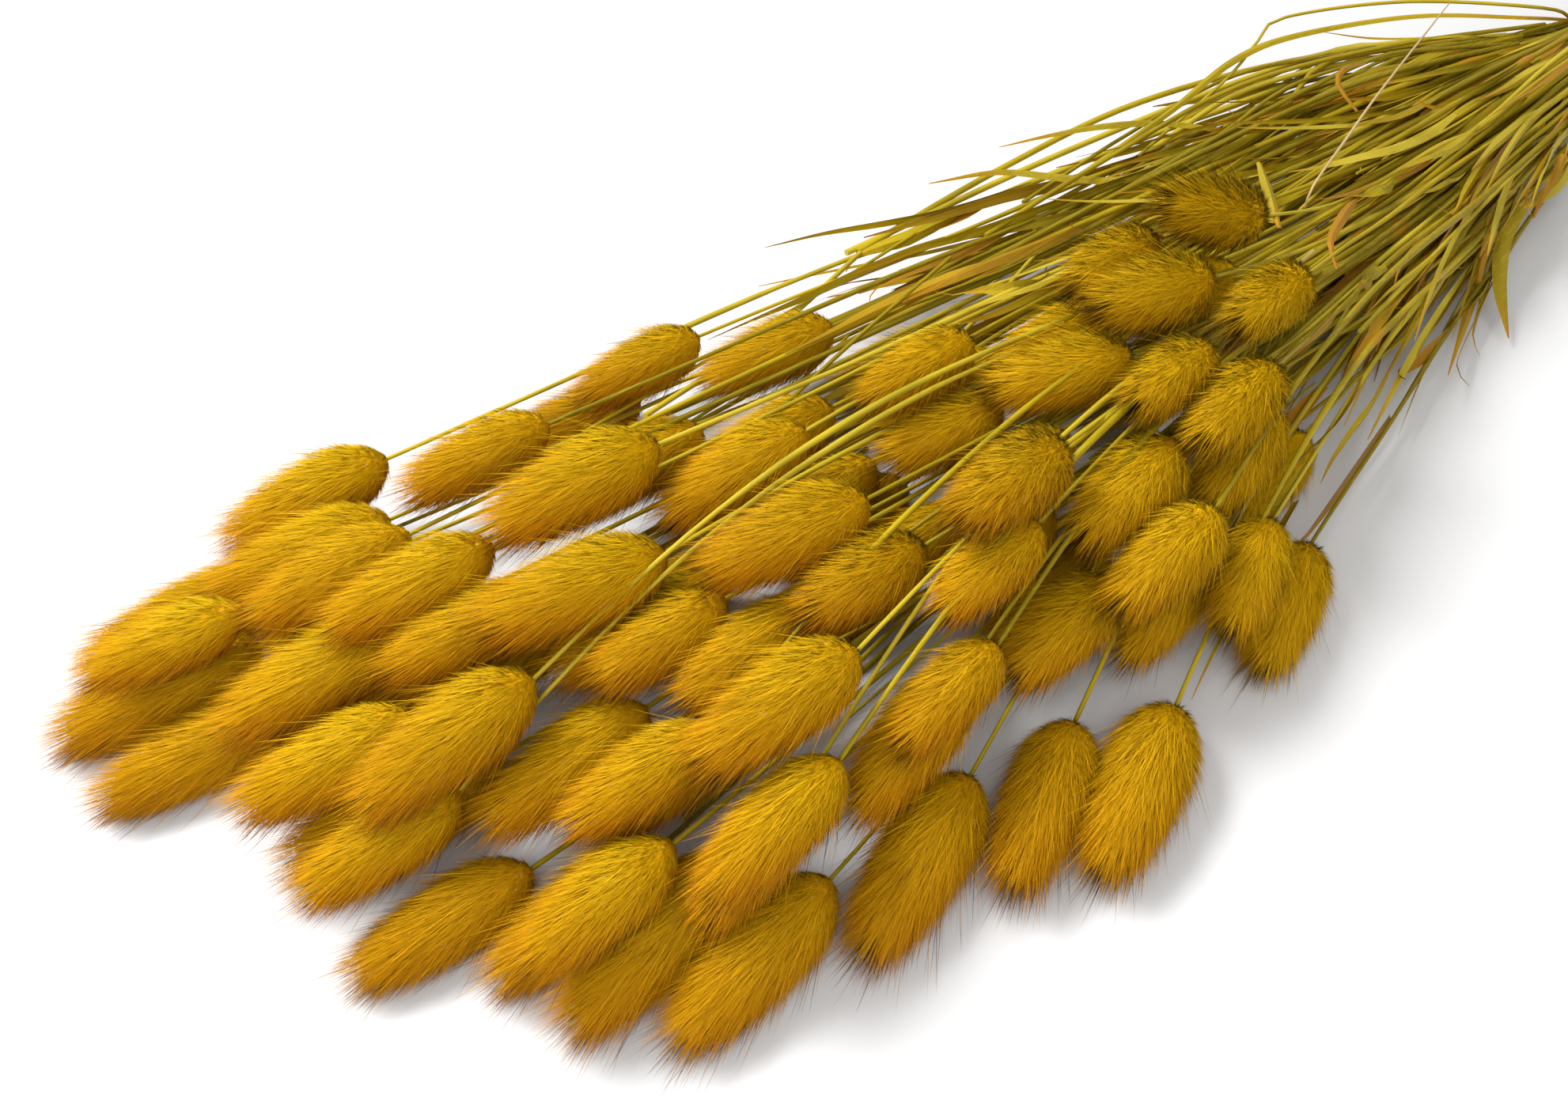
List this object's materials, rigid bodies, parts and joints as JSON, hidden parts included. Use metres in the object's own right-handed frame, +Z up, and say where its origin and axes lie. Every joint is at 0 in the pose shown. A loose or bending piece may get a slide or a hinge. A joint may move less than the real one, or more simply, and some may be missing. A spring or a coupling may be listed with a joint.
{
  "type": "dried bunny tail grass bunch",
  "caption": "Bunch of dried bunny tail grass, dyed golden yellow: long cut stems with dry blades, each with one furry oval seed head, held by a wound rubber band and lying on its side",
  "frame": {"origin": "On the surface that the bunch lies on, under the middle of its bounding box", "axes": "+X from the cut stems to the seed heads, +Y to the left seen along +X from above, +Z up"},
  "size_m": [0.7128, 0.243, 0.09],
  "materials": {
    "fur": "matte soft fur, dyed golden yellow, orange-brown towards the tips",
    "stems": "dry straw, yellow-green with brown streaks, slightly glossy",
    "band": "natural tan rubber, satin"
  },
  "bodies": {
    "root": {"stems_1": "stems", "stems_2": "stems", "stems_3": "stems", "stems_4": "stems", "stems_5": "stems", "stems_6": "stems", "head_pair_01": "fur", "head_01": "fur", "head_02": "fur", "head_pair_02": "fur", "head_pair_03": "fur", "head_03": "fur", "head_pair_04": "fur", "head_04": "fur", "head_pair_05": "fur", "head_05": "fur", "head_06": "fur", "head_pair_06": "fur", "head_07": "fur", "head_08": "fur", "head_09": "fur", "head_10": "fur", "head_11": "fur", "head_12": "fur", "head_pair_07": "fur", "head_pair_08": "fur", "head_13": "fur", "head_pair_09": "fur", "head_pair_10": "fur", "head_14": "fur", "head_pair_11": "fur", "head_15": "fur", "head_pair_12": "fur", "head_16": "fur", "head_17": "fur", "head_18": "fur", "head_pair_13": "fur", "head_pair_14": "fur", "head_19": "fur", "head_pair_15": "fur", "head_20": "fur", "head_21": "fur", "head_pair_16": "fur", "head_pair_17": "fur", "head_22": "fur", "head_23": "fur", "head_24": "fur", "head_pair_18": "fur", "head_pair_19": "fur", "head_25": "fur", "head_pair_20": "fur", "head_pair_21": "fur", "head_pair_22": "fur", "head_pair_23": "fur", "head_pair_24": "fur", "head_26": "fur", "head_pair_25": "fur", "head_27": "fur", "head_28": "fur", "band": "band"}
  },
  "joints": []
}
